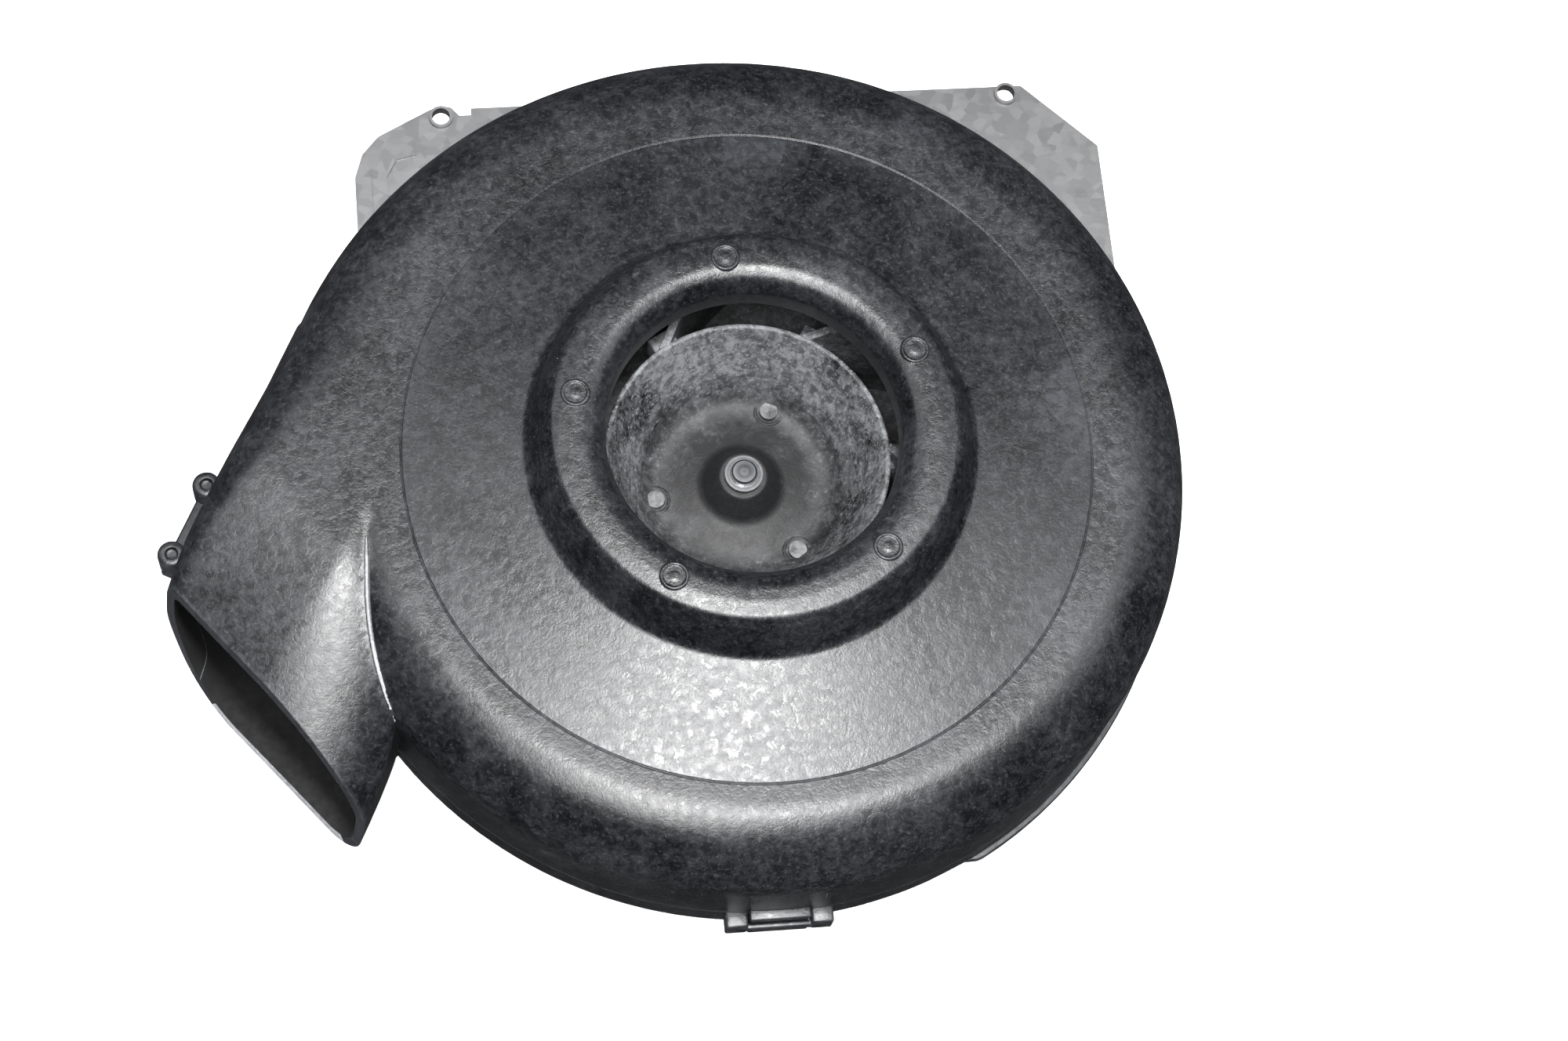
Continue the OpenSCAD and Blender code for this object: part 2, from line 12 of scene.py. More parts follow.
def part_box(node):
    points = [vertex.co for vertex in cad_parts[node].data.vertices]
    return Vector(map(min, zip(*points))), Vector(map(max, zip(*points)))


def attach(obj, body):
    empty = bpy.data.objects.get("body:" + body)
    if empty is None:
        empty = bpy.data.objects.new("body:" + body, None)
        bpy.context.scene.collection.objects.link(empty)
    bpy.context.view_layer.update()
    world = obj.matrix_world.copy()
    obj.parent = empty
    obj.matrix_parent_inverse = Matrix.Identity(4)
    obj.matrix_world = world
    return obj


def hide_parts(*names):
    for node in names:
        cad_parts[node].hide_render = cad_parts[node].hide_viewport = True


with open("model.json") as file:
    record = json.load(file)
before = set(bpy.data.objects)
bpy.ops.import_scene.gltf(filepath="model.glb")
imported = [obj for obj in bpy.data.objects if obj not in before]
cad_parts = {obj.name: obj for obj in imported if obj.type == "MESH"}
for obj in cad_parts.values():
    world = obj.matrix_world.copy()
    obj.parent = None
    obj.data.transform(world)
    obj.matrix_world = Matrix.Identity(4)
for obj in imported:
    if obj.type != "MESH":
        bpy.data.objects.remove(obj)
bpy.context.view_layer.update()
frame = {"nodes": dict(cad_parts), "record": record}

MM = 0.001
NODES = frame["nodes"]

# Heights, in millimetres, taken from the frame
FLOOR_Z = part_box("lower_casing")[0].z / MM
PART_Z = FLOOR_Z + 10
RING_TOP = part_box("upper_casing")[1].z / MM
TOP_Z = RING_TOP - 15
BACK_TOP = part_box("impeller_back_plate")[1].z / MM
SHAFT_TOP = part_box("motor_shaft")[1].z / MM
DISH_Z = SHAFT_TOP - 10.5
RIM_Z = DISH_Z + 20
WALL = 2.2

# The duct's frame: the flow leaves along -Y, heights are above the casing's flat top
DUCT_TURN = math.radians(-27.2)
SCROLL_R = 97
SCROLL_SHIFT = 2.4
LEAD_R = 104.5
LEAD_TURN = math.radians(102)
LEAD_X = (SCROLL_R - LEAD_R) * math.cos(LEAD_TURN)
LEAD_Y = SCROLL_SHIFT + (SCROLL_R - LEAD_R) * math.sin(LEAD_TURN)
SHOULDER_R = 16
LOW = FLOOR_Z - TOP_Z
LIP_H = 4.5
BOTTOM_R = 3
DUCT_START = -8
DUCT_OUT = LEAD_X - math.sqrt(LEAD_R**2 - (DUCT_START - LEAD_Y) ** 2)
RIDGE_X = -70
MOUTH_IN = -44.4
MOUTH_Y = -104
MOUTH_MID = (-73.6, -91.4, -23.0)
MOUTH_SKEW = math.radians(23.5)
MOUTH_LEAN = math.radians(12.6)
GRID = 1.3
INLET_R = 75.2

# Details on the casing, in millimetres
SCROLL_LATCH_TURN = math.radians(-90.4)
DUCT_LATCH_Y = -52.5
LATCH_SINK = 0.2
POST_PITCH = 18.6
POST_W = 4.8
POST_OUT = 3
LATCH_GAP = 0.3
BARB_LOW = FLOOR_Z + 1.5
LUG_X = -102.54
MARK_R = 2.9
MARK_CIRCLE = 38.6
MARK_TURN = 94.6
BEAD_LIFT = 0.3
BEAD_THIN = 0.08
BEAD_R = 0.33

# Impeller, in millimetres and degrees
BLADES = 6
BLADE_TURN = -69
TAB_TURN = 58.5
RIVETS = 3
RIVET_TURN = 65.8
RIVET_CIRCLE = 19.3

# Materials of a casing shell, by the number that its faces carry: the inside's near-black paints shade into
# the casing and duct, and the third, light grey, paints a highlight on the lower lip and the crease bead
OUTSIDE, INSIDE, PAINTED_HIGHLIGHT = range(3)


# ---------------------------------------------------------------- shape helpers


def ease(a, b, x):
    """0 before a, 1 after b, smooth between; a may be the larger."""
    t = np.clip((x - a) / (b - a), 0, 1)
    return t * t * (3 - 2 * t)


def rounded(corners, steps=6):
    """Points of an open path whose corners, given as (r, z, fillet), are rounded with arcs."""
    made = []
    for i, (r, z, fillet) in enumerate(corners):
        here = Vector((r, z))
        if fillet <= 0 or i in (0, len(corners) - 1):
            made.append(here)
            continue
        before = (Vector(corners[i - 1][:2]) - here).normalized()
        after = (Vector(corners[i + 1][:2]) - here).normalized()
        half = before.angle(after) / 2
        reach = fillet / math.tan(half)
        centre = here + (before + after).normalized() * (fillet / math.sin(half))
        start = here + before * reach - centre
        turn = start.angle_signed(here + after * reach - centre)
        for k in range(steps + 1):
            made.append(centre + Matrix.Rotation(-turn * k / steps, 2) @ start)
    return [tuple(p) for p in made]


class Shape:
    """Vertices and faces that grow piece by piece, in millimetres."""

    def __init__(self):
        self.points = []
        self.faces = []
        self.inside = range(0)
        self.look = OUTSIDE

    def add(self, points, faces, place=None):
        base = len(self.points)
        if place is not None:
            points = [place @ Vector(p) for p in points]
        self.points.extend(tuple(p) for p in points)
        self.faces.extend([tuple(base + i for i in f) for f in faces])
        return base

    def lathe(self, profile, steps=96, closed=True, place=None):
        """A profile of (r, z) turned about Z. Points at r = 0 become one pole."""
        points = []
        rings = []
        for r, z in profile:
            if r < 1e-6:
                rings.append([len(points)] * steps)
                points.append((0, 0, z))
                continue
            rings.append(list(range(len(points), len(points) + steps)))
            for k in range(steps):
                a = 2 * math.pi * k / steps
                points.append((r * math.cos(a), r * math.sin(a), z))
        pairs = list(zip(rings, rings[1:]))
        if closed:
            pairs.append((rings[-1], rings[0]))
        faces = []
        for low, high in pairs:
            for k in range(steps):
                n = (k + 1) % steps
                face = list(dict.fromkeys((low[k], low[n], high[n], high[k])))
                if len(face) > 2:
                    faces.append(face)
        self.add(points, faces, place)

    def block(self, low, high, place=None, bevel=0.4):
        """A box between two corners with bevelled edges."""
        made = bmesh.new()
        bmesh.ops.create_cube(made, size=1)
        size = Vector(high) - Vector(low)
        for v in made.verts:
            v.co = Vector(low) + Vector([(v.co[i] + 0.5) * size[i] for i in range(3)])
        bmesh.ops.bevel(
            made, geom=made.edges[:], offset=bevel, segments=3, profile=0.5, affect="EDGES"
        )
        made.verts.index_update()
        self.add([v.co for v in made.verts], [[v.index for v in f.verts] for f in made.faces], place)
        made.free()

    def tube(self, path, radii, sides=10):
        """A round bar along a path of points, closed at both ends."""
        path = [Vector(p) for p in path]
        points = []
        for i, p in enumerate(path):
            along = (path[min(i + 1, len(path) - 1)] - path[max(i - 1, 0)]).normalized()
            side = along.cross(Vector((0.87, 0.5, 0))).normalized()
            lift = side.cross(along)
            for k in range(sides):
                a = 2 * math.pi * k / sides
                points.append(p + radii[i] * (side * math.cos(a) + lift * math.sin(a)))
        faces = []
        for i in range(len(path) - 1):
            for k in range(sides):
                n = (k + 1) % sides
                faces.append([i * sides + k, i * sides + n, (i + 1) * sides + n, (i + 1) * sides + k])
        faces.append(list(range(sides)))
        faces.append([(len(path) - 1) * sides + k for k in range(sides)])
        self.add(points, faces)


def tidy_mesh(made, name):
    """Turns a bmesh in millimetres into a smooth object in metres."""
    bmesh.ops.recalc_face_normals(made, faces=made.faces[:])
    bmesh.ops.scale(made, vec=(MM, MM, MM), verts=made.verts[:])
    mesh = bpy.data.meshes.new(name)
    made.to_mesh(mesh)
    made.free()
    mesh.shade_smooth()
    mesh.set_sharp_from_angle(angle=math.radians(38))
    piece = bpy.data.objects.new(name, mesh)
    bpy.context.scene.collection.objects.link(piece)
    return piece


def bmesh_of(shape):
    made = bmesh.new()
    verts = [made.verts.new(p) for p in shape.points]
    for k, face in enumerate(shape.faces):
        made.faces.new([verts[i] for i in face]).material_index = INSIDE if k in shape.inside else shape.look
    return made


def settle(piece, body, slot, material, *replaced):
    """Gives a piece its material and body and hides the CAD nodes that it stands for; slot is not used."""
    piece.data.materials.append(material)
    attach(piece, body)
    if replaced:
        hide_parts(*replaced)
    return piece


# ---------------------------------------------------------------- casing skin


def slab_distance(side, z, top_r):
    """Distance to an upright outline with rounded top and bottom edges."""
    upper = z > LOW / 2
    r = np.where(upper, top_r, BOTTOM_R)
    out = side + r
    up = np.where(upper, z, LOW - z) + r
    return np.hypot(np.maximum(out, 0), np.maximum(up, 0)) + np.minimum(np.maximum(out, up), 0) - r


def corner_distance(out, up, wide, tall, power):
    """Distance to a rounded corner; out and up are measured from the corner's centre."""
    u = np.maximum(out, 1e-9) / wide
    v = np.maximum(up, 1e-9) / tall
    total = u**power + v**power
    slope = total ** (1 / power - 1) * np.hypot(u ** (power - 1) / wide, v ** (power - 1) / tall)
    curved = (total ** (1 / power) - 1) / slope
    return np.where((out > 0) & (up > 0), curved, np.maximum(out - wide, up - tall))


def duct_top(x, y):
    """Height of the duct's top, which bends down over the last part before the mouth."""
    to_mouth = y - MOUTH_MID[1] + (x - MOUTH_MID[0]) * math.tan(MOUTH_SKEW)
    return -8.7 * np.clip(1 - to_mouth / 38, 0, 1.2) ** 1.5


def duct_distance(x, y, z):
    """Distance to the outlet duct, whose corners change from the scroll to the mouth."""
    top = duct_top(x, y)
    bottom = LOW + 3.7 * ease(-60, -100, y)
    inner = MOUTH_IN - 14 * np.clip((y - MOUTH_Y) / 56, 0, 1) ** 2.2
    outer = DUCT_OUT + 1.3 * ease(-62, -84, y)
    ridge = RIDGE_X - 7.5 * np.clip((-56 - y) / 40, 0, 1)
    right = x > (outer + inner) / 2
    upper = z > np.where(right, -25, -12)
    wide = np.where(
        right,
        np.where(upper, inner - ridge, 3 + 6 * ease(-70, -100, y)),
        np.where(upper, SHOULDER_R - 13 * ease(-8, -84, y), 3 + 19 * ease(-66, -82, y)),
    )
    tall = np.where(right & upper, 9 + 5.5 * ease(-60, -98, y), wide)
    tall = np.where(~right & ~upper, 3 + 25 * ease(-66, -82, y), tall)
    out = np.where(right, x - inner + wide, outer + wide - x)
    up = np.where(upper, z - top + tall, bottom + tall - z)
    power = np.where(right & upper, 1.5 + 0.35 * ease(-62, -98, y), 2.0)
    return corner_distance(out, up, wide, tall, power)


def scroll_distance(x, y, z):
    return slab_distance(np.hypot(x, y - SCROLL_SHIFT) - SCROLL_R, z, SHOULDER_R)


def lead_distance(x, y, z):
    """The wider arc behind the duct's start, where it leaves the scroll, and the duct in front of it."""
    arc = slab_distance(np.hypot(x - LEAD_X, y - LEAD_Y) - LEAD_R, z, SHOULDER_R)
    beyond = (y - SCROLL_SHIFT) * math.cos(LEAD_TURN) < x * math.sin(LEAD_TURN)
    arc = np.where(beyond, scroll_distance(x, y, z), arc)
    return np.where(y > DUCT_START, arc, duct_distance(x, np.minimum(y, DUCT_START), z))


def casing_distance(x, y, z):
    return np.minimum(scroll_distance(x, y, z), lead_distance(x, y, z))


def gradient(distance, p):
    step = 0.02
    parts = []
    for axis in range(3):
        shift = np.zeros(3)
        shift[axis] = step
        parts.append((distance(*(p + shift).T) - distance(*(p - shift).T)) / (2 * step))
    return np.stack(parts, 1)


def surface_net(distance, low, high, step):
    """A quad skin on the zero surface of a distance function."""
    axes = [np.arange(low[i], high[i] + step, step) for i in range(3)]
    value = distance(*np.meshgrid(*axes, indexing="ij"))
    inside = value < 0
    cells = tuple(n - 1 for n in value.shape)
    total = np.zeros(cells + (3,))
    count = np.zeros(cells)
    crossings = []
    for axis in range(3):
        first = [slice(None)] * 3
        second = [slice(None)] * 3
        first[axis] = slice(0, -1)
        second[axis] = slice(1, None)
        a, b = value[tuple(first)], value[tuple(second)]
        crossed = inside[tuple(first)] != inside[tuple(second)]
        share = np.where(crossed, a / np.where(crossed, a - b, 1), 0)
        place = np.stack(np.indices(crossed.shape), -1).astype(float)
        place[..., axis] += share
        place *= crossed[..., None]
        others = [i for i in range(3) if i != axis]
        for m in (0, 1):
            for n in (0, 1):
                window = [slice(None)] * 3
                window[others[0]] = slice(m, crossed.shape[others[0]] - 1 + m)
                window[others[1]] = slice(n, crossed.shape[others[1]] - 1 + n)
                total += place[tuple(window)]
                count += crossed[tuple(window)]
        crossings.append((axis, others, crossed))
    number = np.full(cells, -1)
    used = count > 0
    number[used] = np.arange(used.sum())
    points = total[used] / count[used][:, None] * step + np.array(low)
    quads = []
    for axis, others, crossed in crossings:
        where = np.argwhere(crossed)
        keep = np.ones(len(where), bool)
        for o in others:
            keep &= (where[:, o] > 0) & (where[:, o] < crossed.shape[o] - 1)
        where = where[keep]
        ring = []
        for m, n in ((-1, -1), (0, -1), (0, 0), (-1, 0)):
            cell = where.copy()
            cell[:, others[0]] += m
            cell[:, others[1]] += n
            ring.append(number[tuple(cell.T)])
        quads.append(np.stack(ring, 1))
    for _ in range(4):
        slope = gradient(distance, points)
        size = np.maximum((slope**2).sum(1), 0.05)
        points = points - slope * (distance(*points.T) / size)[:, None]
    return points, np.concatenate(quads)


def boundary_loop(quads, removed):
    """The corner numbers round a removed patch of quads, in order."""
    edges = {}
    for quad in quads[removed]:
        for i in range(4):
            a, b = quad[i], quad[(i + 1) % 4]
            key = (min(a, b), max(a, b))
            edges[key] = edges.get(key, 0) + 1
    links = {}
    for (a, b), uses in edges.items():
        if uses == 1:
            links.setdefault(a, []).append(b)
            links.setdefault(b, []).append(a)
    start = next(iter(links))
    loop = [start]
    last = None
    while True:
        following = [n for n in links[loop[-1]] if n != last]
        last = loop[-1]
        if following[0] == start:
            return loop
        loop.append(following[0])


def add_strip(shape, loop, centre, profile, fade=0.0):
    """Rings from a loop of points along a profile of (r, z) about centre, ending where r = 0 or in a ring.

    fade is the radius at which the loop's own unevenness in height has died away."""
    start = [Vector(shape.points[i]) for i in loop]
    turns = [math.atan2(p.y - centre[1], p.x - centre[0]) for p in start]
    begin_r, begin_z = profile[0]
    ring = list(loop)
    for r, z in profile[1:]:
        if r < 1e-6:
            pole = shape.add([(centre[0], centre[1], z)], [])
            shape.faces.extend((ring[k], ring[(k + 1) % len(ring)], pole) for k in range(len(ring)))
            return None
        keep = max(0.0, (r - fade) / (begin_r - fade)) if fade else 0.0
        points = [
            (centre[0] + r * math.cos(t), centre[1] + r * math.sin(t), z + keep * (p.z - begin_z))
            for t, p in zip(turns, start)
        ]
        base = shape.add(points, [])
        fresh = list(range(base, base + len(loop)))
        for k in range(len(loop)):
            n = (k + 1) % len(loop)
            shape.faces.append((ring[k], ring[n], fresh[n], fresh[k]))
        ring = fresh
    return ring


def join_rings(shape, one, two):
    for k in range(len(one)):
        n = (k + 1) % len(one)
        shape.faces.append((one[k], one[n], two[n], two[k]))


def inlet_profiles():
    """The raised inlet as two profiles from the flat top inwards: its face, and its underside."""
    t = TOP_Z
    crown = RING_TOP - t - 0.35
    face = rounded([
        (INLET_R, 0, 0), (75.02, 0, 0), (74.86, -0.2, 0.05), (74.66, -0.2, 0.05), (74.5, 0, 0),
        (66, 1.3, 0), (57, 2.7, 0), (48.3, 4, 2.2), (45, crown - 2.6, 2.2), (43.4, crown - 0.45, 2.2),
        (39.6, crown, 10), (36.2, crown, 6), (33.6, crown - 1.1, 3.4), (31.75, crown - 4.4, 3),
        (31.6, 5.35, 0), (31.95, 5, 0),
    ], 7)
    under = rounded([
        (INLET_R, -WALL, 0), (74, -WALL, 0), (47.4, 4 - WALL, 1.5), (42.5, RING_TOP - t - 3, 1.5),
        (36.5, RING_TOP - t - 2.7, 1.5), (33.4, 9.4, 1.2), (33.4, 5.35, 0), (33.05, 5, 0),
    ], 5)
    return face, under


def casing_skin():
    """Outer and inner skins of both casings as one closed shape, with inlet, shaft seat and screw bosses."""
    low = (-106.5, -128, LOW - 2.5)
    high = (100, 103, 2.5)
    points, quads = surface_net(casing_distance, low, high, GRID)
    shape = Shape()
    centres = points[quads].mean(1)
    ports = [((0, 0), INLET_R, True), ((0, 0), 13, False)]
    for x in (-55, 55):
        for y in (-55, 55):
            there = Matrix.Rotation(-DUCT_TURN, 2) @ Vector((x, y))
            ports.append(((there.x, there.y), 5.2, False))
    keep = np.ones(len(quads), bool)
    loops = []
    for centre, radius, on_top in ports:
        away = np.hypot(centres[:, 0] - centre[0], centres[:, 1] - centre[1])
        level = centres[:, 2] > -6 if on_top else centres[:, 2] < LOW + 0.5
        gone = (away < radius) & level
        loop = boundary_loop(quads, gone)
        keep &= ~gone
        flat = points[loop][:, :2] - np.array(centre)
        flat *= (radius / np.hypot(*flat.T))[:, None]
        points[loop, :2] = flat + np.array(centre)
        if on_top:
            height = casing_distance(*points[loop].T)
            points[loop, 2] -= height
        else:
            points[loop, 2] = LOW
        loops.append(loop)
    normals = gradient(casing_distance, points)
    normals /= np.linalg.norm(normals, axis=1)[:, None]
    for loop in loops[1:]:
        normals[loop] = (0, 0, -1)
    inner = points - WALL * normals
    quads = quads[keep]
    used = np.unique(np.concatenate([quads.ravel(), *[np.array(l) for l in loops]]))
    number = np.full(len(points), -1)
    number[used] = np.arange(len(used))
    shape.add(points[used].tolist() + inner[used].tolist(), [])
    outer_quads = number[quads]
    shape.faces.extend(map(tuple, outer_quads.tolist()))
    shape.inside = range(len(shape.faces), 2 * len(shape.faces))
    shape.faces.extend(map(tuple, (outer_quads + len(used)).tolist()))
    outer_loops = [number[l].tolist() for l in loops]
    inner_loops = [[i + len(used) for i in l] for l in outer_loops]

    face, under = inlet_profiles()
    join_rings(
        shape,
        add_strip(shape, outer_loops[0], (0, 0), face, fade=50),
        add_strip(shape, inner_loops[0], (0, 0), under, fade=50),
    )
    seat_out = rounded([
        (13, LOW, 0), (6.4, LOW, 0), (6, LOW + 0.4, 0), (6, LOW + 1, 0), (9, LOW + 1, 0), (9, LOW + 4, 0),
    ])
    seat_in = rounded([(13, LOW + WALL, 0), (12, LOW + WALL + 0.4, 0), (12, LOW + 4, 0)])
    join_rings(
        shape,
        add_strip(shape, outer_loops[1], (0, 0), seat_out),
        add_strip(shape, inner_loops[1], (0, 0), seat_in),
    )
    for k, (centre, _, _) in enumerate(ports[2:], 2):
        hole = [(5.2, LOW), (2, LOW), (1.6, LOW + 0.4), (1.6, LOW + 6), (0, LOW + 6.4)]
        boss = [(5.2, LOW + WALL), (4.2, LOW + WALL + 0.6), (4, LOW + 7.6), (3.6, LOW + 8), (0, LOW + 8)]
        add_strip(shape, outer_loops[k], centre, hole)
        add_strip(shape, inner_loops[k], centre, boss)
    return shape


def cut(made, point, normal, keep_below=True):
    """Cuts a closed bmesh with a plane, drops the side the normal points to, and returns the end faces."""
    normal = Vector(normal).normalized() * (1 if keep_below else -1)
    result = bmesh.ops.bisect_plane(
        made, geom=made.verts[:] + made.edges[:] + made.faces[:], dist=1e-4,
        plane_co=point, plane_no=normal, clear_outer=True,
    )
    edges = [e for e in result["geom_cut"] if isinstance(e, bmesh.types.BMEdge)]
    filled = bmesh.ops.triangle_fill(made, edges=edges, use_beauty=True, normal=normal)
    return [f for f in filled["geom"] if isinstance(f, bmesh.types.BMFace)]


def half_casing(skin, upper):
    made = bmesh_of(skin)
    level = PART_Z - TOP_Z + (0.12 if upper else -0.12)
    across = Vector((-math.sin(MOUTH_SKEW), -math.cos(MOUTH_SKEW), math.tan(MOUTH_LEAN)))
    # End faces of the mouth's cut below the lip height take the light grey material: a painted highlight
    # along the lower lip.
    for face in cut(made, MOUTH_MID, across):
        if min(v.co.z for v in face.verts) < LOW + LIP_H:
            face.material_index = PAINTED_HIGHLIGHT
    cut(made, (0, 0, level), (0, 0, 1), keep_below=not upper)
    return made


def to_row(made):
    """Moves a bmesh from the duct's frame to the frame of the model."""
    matrix = Matrix.Translation((0, 0, TOP_Z)) @ Matrix.Rotation(DUCT_TURN, 4, "Z")
    bmesh.ops.transform(made, matrix=matrix, verts=made.verts[:])


def extend(made, shape):
    """Adds a shape's faces to a bmesh."""
    verts = [made.verts.new(p) for p in shape.points]
    for face in shape.faces:
        made.faces.new([verts[i] for i in face]).material_index = shape.look


def scroll_latch_place():
    return (
        Matrix.Rotation(DUCT_TURN, 4, "Z")
        @ Matrix.Translation((0, SCROLL_SHIFT, 0))
        @ Matrix.Rotation(SCROLL_LATCH_TURN - DUCT_TURN, 4, "Z")
        @ Matrix.Translation((SCROLL_R - LATCH_SINK, 0, 0))
    )


def duct_latch_place():
    return (
        Matrix.Rotation(DUCT_TURN, 4, "Z")
        @ Matrix.Translation((DUCT_OUT + LATCH_SINK, DUCT_LATCH_Y, 0))
        @ Matrix.Rotation(math.pi, 4, "Z")
    )


def crease_points():
    """Points of the line where the duct's inner side meets the scroll, from the apex down."""
    p = np.array([[-66.5, -51.0, -0.8]])
    line = []
    for _ in range(70):
        for _ in range(12):
            both = np.array([scroll_distance(*p.T)[0], lead_distance(*p.T)[0]])
            slopes = np.concatenate([gradient(scroll_distance, p), gradient(lead_distance, p)])
            p = p - 0.7 * np.linalg.lstsq(slopes, both, rcond=None)[0]
        line.append(tuple(p[0] + (0, 0, BEAD_LIFT)))
        along = np.cross(slopes[0], slopes[1])
        along = along / np.linalg.norm(along) * (1 if along[1] + along[2] < 0 else -1)
        p = p + 0.9 * along
        if p[0, 2] < -30:
            break
    return line


def casing_piece(made, name, node, materials):
    """A finished shell of the housing with its outside material, its near-black inside with painted shade,
    and its light grey with a painted highlight.
    """
    outside, *others = materials
    piece = settle(tidy_mesh(made, name), "housing", "casing_plastic", outside, node)
    for other in others:
        piece.data.materials.append(other)
    return piece


def upper_casing(skin, materials):
    made = half_casing(skin, upper=True)
    crease = Shape()
    # The bead along the crease is light grey: a painted highlight along the crease line.
    crease.look = PAINTED_HIGHLIGHT
    line = crease_points()
    last = len(line) - 1
    fade = [min(1.0, k / 5) * float(ease(last - 10, last - 30, k)) for k in range(last + 1)]
    crease.tube(line, [BEAD_THIN + BEAD_R * f for f in fade])
    extend(made, crease)
    to_row(made)
    extra = Shape()
    for k in range(5):
        a = math.radians(MARK_TURN + 72 * k)
        place = Matrix.Translation((MARK_CIRCLE * math.cos(a), MARK_CIRCLE * math.sin(a), RING_TOP))
        extra.lathe(mark_profile(MARK_R), 40, False, place)
    for place in (scroll_latch_place(), duct_latch_place()):
        latch_tongue(extra, place)
    extend(made, extra)
    return casing_piece(made, "upper_casing_shell", "upper_casing", materials)


def mark_profile(r):
    """A moulding pin's mark: a low rim round a pad with a faint dome, all below the ring's highest point."""
    return rounded([
        (r + 0.2, -0.9, 0), (r + 0.1, -0.02, 0.2), (r - 0.35, -0.02, 0.15), (r - 0.65, -0.27, 0.12),
        (1.3, -0.25, 0.4), (0.7, -0.12, 0.3), (0, -0.1, 0),
    ], 3)


def latch_tongue(shape, place):
    """The upper casing's side of a latch: a root, a stem that hangs from it and a barb at the stem's foot."""
    half = POST_PITCH / 2 - POST_W / 2 - LATCH_GAP
    shape.block((-1, -half, PART_Z), (2.2, half, PART_Z + 2), place, 0.35)
    shape.block((0.45, -half, BARB_LOW), (1.35, half, PART_Z + 0.5), place, 0.2)
    shape.block((0.5, -half, BARB_LOW), (2.55, half, BARB_LOW + 3.2), place, 0.4)


def latch_posts(shape, place):
    """The lower casing's side of a latch: two posts and the web between them."""
    for side in (-1, 1):
        mid = side * POST_PITCH / 2
        low = (-1.5, mid - POST_W / 2, FLOOR_Z + 4)
        shape.block(low, (POST_OUT, mid + POST_W / 2, PART_Z - 0.2), place, 0.5)
    half = POST_PITCH / 2
    shape.block((1.6, -half, FLOOR_Z + 5), (POST_OUT, half, FLOOR_Z + 7.5), place, 0.35)


def lower_casing(skin, materials):
    made = half_casing(skin, upper=False)
    to_row(made)
    extra = Shape()
    for place in (scroll_latch_place(), duct_latch_place()):
        latch_posts(extra, place)
    duct_lug(extra)
    edge_strip(extra)
    extend(made, extra)
    return casing_piece(made, "lower_casing_shell", "lower_casing", materials)


def duct_lug(shape):
    """A flat lug beside the duct's outer wall, with a round post at each end."""
    place = Matrix.Rotation(DUCT_TURN, 4, "Z") @ Matrix.Translation((LUG_X, DUCT_LATCH_Y, FLOOR_Z))
    shape.block((-9.2, -12.5, 0.02), (1, 12.5, 2.5), place, 0.8)
    for side in (-1, 1):
        post = place @ Matrix.Translation((-7.6, side * 8.9, 0))
        shape.lathe(rounded([
            (0, 0.5, 0), (3.2, 0.5, 0), (3.2, 7.4, 1.1), (1.4, 7.4, 0.2), (1.2, 6.4, 0.2), (0, 6.4, 0),
        ], 4), 40, False, post)


def edge_strip(shape):
    """A narrow rib round part of the lower casing, from 65 to 22 degrees below the row's X axis."""
    centre = Matrix.Rotation(DUCT_TURN, 4, "Z") @ Vector((0, SCROLL_SHIFT, 0))
    low, out = 2, 1.36
    section = rounded([
        (SCROLL_R - 1, low, 0), (SCROLL_R + out, low, 0.4),
        (SCROLL_R + out, low + 2, 0.4), (SCROLL_R - 1, low + 2, 0),
    ], 3)
    first, last = math.radians(-65), math.radians(-22)
    steps = 60
    points = []
    for k in range(steps + 1):
        a = first + (last - first) * k / steps
        grow = min(1.0, min(k, steps - k) / 4 + 0.15)
        for r, z in section:
            r = SCROLL_R - 1 + (r - SCROLL_R + 1) * grow
            points.append((centre.x + r * math.cos(a), centre.y + r * math.sin(a), FLOOR_Z + z))
    n = len(section)
    faces = []
    for k in range(steps):
        for i in range(n):
            j = (i + 1) % n
            faces.append((k * n + i, k * n + j, (k + 1) * n + j, (k + 1) * n + i))
    faces.append(tuple(range(n)))
    faces.append(tuple(steps * n + i for i in range(n)))
    shape.add(points, faces)


# ---------------------------------------------------------------- impeller


def shroud_under(r):
    """Height of the shroud's underside at a radius."""
    return float(np.interp(r, [34.9, 35.4, 38.4, 72], [93.8, 93.6, 91.6, 88.5])) + TOP_Z - 94


